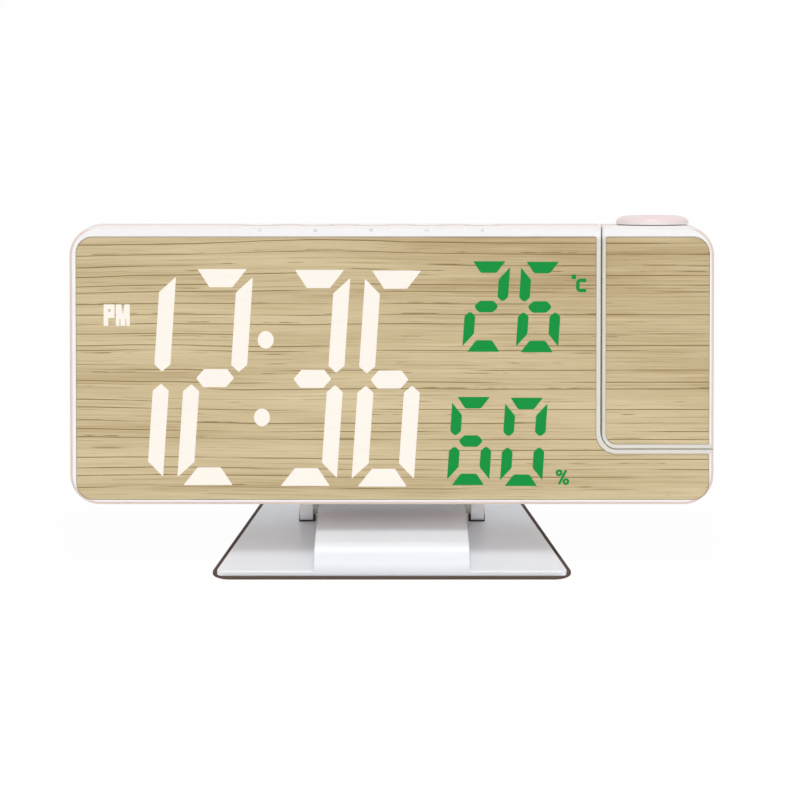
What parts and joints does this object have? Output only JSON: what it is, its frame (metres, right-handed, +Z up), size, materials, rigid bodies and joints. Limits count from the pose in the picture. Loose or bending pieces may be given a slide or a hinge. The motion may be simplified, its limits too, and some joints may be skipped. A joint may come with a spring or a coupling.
{
  "type": "projection alarm clock",
  "caption": "Flat alarm clock with a wood-grain LED face in a white frame, tilting on a plate stand, with a swivelling projector at its upper right.",
  "frame": {"origin": "centre of the stand's underside, on the table", "axes": "+X along the clock's width to the reader's right, +Y to the back, +Z up"},
  "size_m": [0.19, 0.0688, 0.0981],
  "materials": {
    "case_white": "satin moulded white",
    "stand_white": "satin moulded white",
    "pad_dark": "matte non-slip pad",
    "wood_film": "printed wood-grain film, satin",
    "reflector_white": "matte white",
    "cream_light": "lit diffuser",
    "green_light": "lit diffuser",
    "circuit_green": "solder mask",
    "black_plastic": "matte black",
    "steel": "plated steel",
    "nickel": "nickel plate",
    "acetal": "natural acetal",
    "key_white": "polished white",
    "lens_glass": "coated optical glass",
    "lcd_glass": "polarised glass",
    "led_yellow": "phosphor",
    "aluminium": "bare",
    "cone_paper": "pressed fibre",
    "lead_grey": "insulated lead",
    "sensor_blue": "matte"
  },
  "bodies": {
    "stand": {"stand_bracket": "stand_white", "stand_pad": "pad_dark"},
    "clock": {"hinge_pin": "steel", "friction_washers": "acetal", "front_housing": "case_white", "rear_cover": "case_white", "face_panel": "wood_film", "case_screws": "steel", "display_reflector": "reflector_white", "time_segments": "cream_light", "climate_segments": "green_light", "mark_windows": "cream_light", "segment_leds": "led_yellow", "main_board": "circuit_green", "board_parts": "black_plastic", "board_screws": "steel", "room_sensor": "sensor_blue", "key_board": "circuit_green", "key_switches": "black_plastic", "key_board_screws": "steel", "speaker": "steel", "speaker_cone": "cone_paper", "coin_cell": "steel", "cell_spring": "nickel", "cell_clip": "nickel", "battery_door": "case_white", "door_screw": "steel", "usb_shell": "nickel", "usb_core": "black_plastic", "inlet_shell": "nickel", "inlet_core": "black_plastic", "pivot_bush": "acetal", "pivot_washer": "steel", "board_lead": "lead_grey", "lead_socket": "reflector_white"},
    "projector": {"projector_front": "case_white", "projector_rear": "case_white", "projector_panel": "wood_film", "projector_screws": "steel", "pivot_shaft": "acetal", "pivot_ring": "steel", "optics_barrel": "black_plastic", "image_lcd": "lcd_glass", "condenser_lens": "lens_glass", "lamp_housing": "black_plastic", "lamp_board": "aluminium", "lamp_led": "led_yellow", "lamp_lead": "lead_grey"},
    "focus": {"focus_ring": "key_white"},
    "lens": {"lens_cell": "black_plastic", "projection_lens": "lens_glass", "lens_retainer": "black_plastic"},
    "key_1": {"key_1": "key_white"},
    "key_2": {"key_2": "key_white"},
    "key_3": {"key_3": "key_white"},
    "key_4": {"key_4": "key_white"},
    "key_5": {"key_5": "key_white"}
  },
  "joints": [
    {"name": "tilt", "type": "hinge", "parent": "stand", "child": "clock", "pos_m": [0, 0.0105, 0.008], "axis": [1, 0, 0], "range_deg": [-20, 12]},
    {"name": "projector_swivel", "type": "hinge", "parent": "clock", "child": "projector", "pos_m": [0, 0.00315, 0.04939], "axis": [1, 0, 0], "range_deg": [-90, 90]},
    {"name": "focus_turn", "type": "hinge", "parent": "projector", "child": "focus", "pos_m": [0.0772, 0.0161, 0.09311], "axis": [0, 0.284, 0.9588], "range_deg": [0, 270]},
    {"name": "lens_travel", "type": "slide", "parent": "projector", "child": "lens", "axis": [0, 0.284, 0.9588], "range_m": [0, 0.0018]},
    {"name": "key_1_press", "type": "slide", "parent": "clock", "child": "key_1", "axis": [0, -0.284, -0.9588], "range_m": [0, 0.0006], "stiffness_N_per_m": 900, "springref_m": -0.0003},
    {"name": "key_2_press", "type": "slide", "parent": "clock", "child": "key_2", "axis": [0, -0.284, -0.9588], "range_m": [0, 0.0006], "stiffness_N_per_m": 900, "springref_m": -0.0003},
    {"name": "key_3_press", "type": "slide", "parent": "clock", "child": "key_3", "axis": [0, -0.284, -0.9588], "range_m": [0, 0.0006], "stiffness_N_per_m": 900, "springref_m": -0.0003},
    {"name": "key_4_press", "type": "slide", "parent": "clock", "child": "key_4", "axis": [0, -0.284, -0.9588], "range_m": [0, 0.0006], "stiffness_N_per_m": 900, "springref_m": -0.0003},
    {"name": "key_5_press", "type": "slide", "parent": "clock", "child": "key_5", "axis": [0, -0.284, -0.9588], "range_m": [0, 0.0006], "stiffness_N_per_m": 900, "springref_m": -0.0003}
  ],
  "couplings": [
    {"joint": "focus_turn", "follows": "lens_travel", "rad_per_m": 2617.9}
  ]
}
